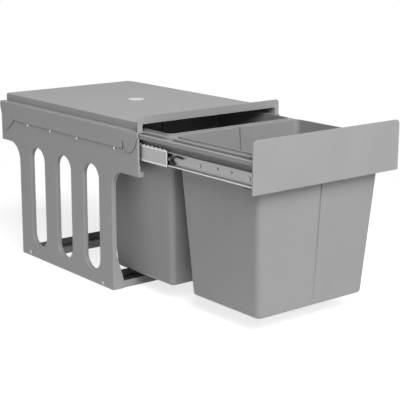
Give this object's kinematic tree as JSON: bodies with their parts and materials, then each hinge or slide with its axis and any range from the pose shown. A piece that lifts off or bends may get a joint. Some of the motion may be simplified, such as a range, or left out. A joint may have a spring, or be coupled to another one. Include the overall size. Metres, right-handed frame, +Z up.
{
  "type": "pull-out waste cabinet",
  "caption": "Pull-out waste cabinet for a kitchen cupboard: pressed steel frame with a flat cover, and a drawer on ball slides that carries lift-out bins behind a plain front panel.",
  "frame": {"origin": "on the cupboard floor, at the middle of the four floor screws in the base bars", "axes": "+X to the right seen from the front, -Y to the front, where the drawer comes out, +Z up"},
  "size_m": [0.336, 0.7928, 0.341],
  "materials": {
    "panel_grey": "matt powder coat",
    "cover_grey": "matt powder coat",
    "front_grey": "matt powder coat",
    "badge_white": "smooth, bare",
    "zinc": "zinc plated",
    "cage_steel": "bright plated",
    "ball_steel": "polished",
    "screw_steel": "zinc plated",
    "black_plastic": "moulded",
    "carrier_grey": "matt powder coat",
    "bin_grey": "moulded, fine grain"
  },
  "bodies": {
    "frame": {"left_side_panel": "panel_grey", "right_side_panel": "panel_grey", "left_top_rail": "panel_grey", "right_top_rail": "panel_grey", "top_cover": "cover_grey", "cover_screws": "screw_steel", "badge_disc": "badge_white", "front_base_bar": "panel_grey", "rear_base_bar": "panel_grey", "base_screws": "screw_steel", "slide_rivets": "zinc", "left_slide_outer": "zinc", "right_slide_outer": "zinc", "left_end_stop": "black_plastic", "right_end_stop": "black_plastic"},
    "drawer": {"left_slide_inner": "zinc", "right_slide_inner": "zinc", "lever_pins": "zinc", "left_carrier_rail": "carrier_grey", "right_carrier_rail": "carrier_grey", "front_cross_rail": "carrier_grey", "middle_cross_rail": "carrier_grey", "rear_cross_rail": "carrier_grey", "carrier_screws": "screw_steel", "slide_screws": "screw_steel", "left_panel_bracket": "zinc", "right_panel_bracket": "zinc", "panel_screws": "screw_steel", "front_panel": "front_grey"},
    "slide_middles": {"left_slide_middle": "zinc", "right_slide_middle": "zinc"},
    "outer_cages": {"left_outer_cage": "cage_steel", "right_outer_cage": "cage_steel", "left_outer_balls": "ball_steel", "right_outer_balls": "ball_steel"},
    "inner_cages": {"left_inner_cage": "cage_steel", "right_inner_cage": "cage_steel", "left_inner_balls": "ball_steel", "right_inner_balls": "ball_steel"},
    "left_lever": {"left_release_lever": "black_plastic"},
    "right_lever": {"right_release_lever": "black_plastic"},
    "front_bin": {"front_bin": "bin_grey"},
    "rear_bin": {"rear_bin": "bin_grey"}
  },
  "joints": [
    {"name": "drawer_slide", "type": "slide", "parent": "frame", "child": "drawer", "axis": [0, -1, 0], "range_m": [-0.3035, 0.1465]},
    {"name": "middle_slide", "type": "slide", "parent": "frame", "child": "slide_middles", "axis": [0, -1, 0], "range_m": [-0.15175, 0.07325]},
    {"name": "outer_cage_slide", "type": "slide", "parent": "frame", "child": "outer_cages", "axis": [0, -1, 0], "range_m": [-0.07587, 0.03662]},
    {"name": "inner_cage_slide", "type": "slide", "parent": "frame", "child": "inner_cages", "axis": [0, -1, 0], "range_m": [-0.22762, 0.10988]},
    {"name": "left_lever_pivot", "type": "hinge", "parent": "drawer", "child": "left_lever", "pos_m": [-0.1573, -0.32955, 0.2755], "axis": [1, 0, 0], "range_deg": [0, 7], "stiffness_Nm_per_rad": 0.02},
    {"name": "right_lever_pivot", "type": "hinge", "parent": "drawer", "child": "right_lever", "pos_m": [0.1573, -0.32955, 0.2755], "axis": [1, 0, 0], "range_deg": [0, 7], "stiffness_Nm_per_rad": 0.02},
    {"name": "front_bin_lift", "type": "slide", "parent": "drawer", "child": "front_bin", "axis": [0, 0, 1], "range_m": [0, 0.007]},
    {"name": "rear_bin_lift", "type": "slide", "parent": "drawer", "child": "rear_bin", "axis": [0, 0, 1], "range_m": [0, 0.007]}
  ],
  "couplings": [
    {"joint": "middle_slide", "follows": "drawer_slide", "ratio": 0.5},
    {"joint": "outer_cage_slide", "follows": "drawer_slide", "ratio": 0.25},
    {"joint": "inner_cage_slide", "follows": "drawer_slide", "ratio": 0.75}
  ]
}
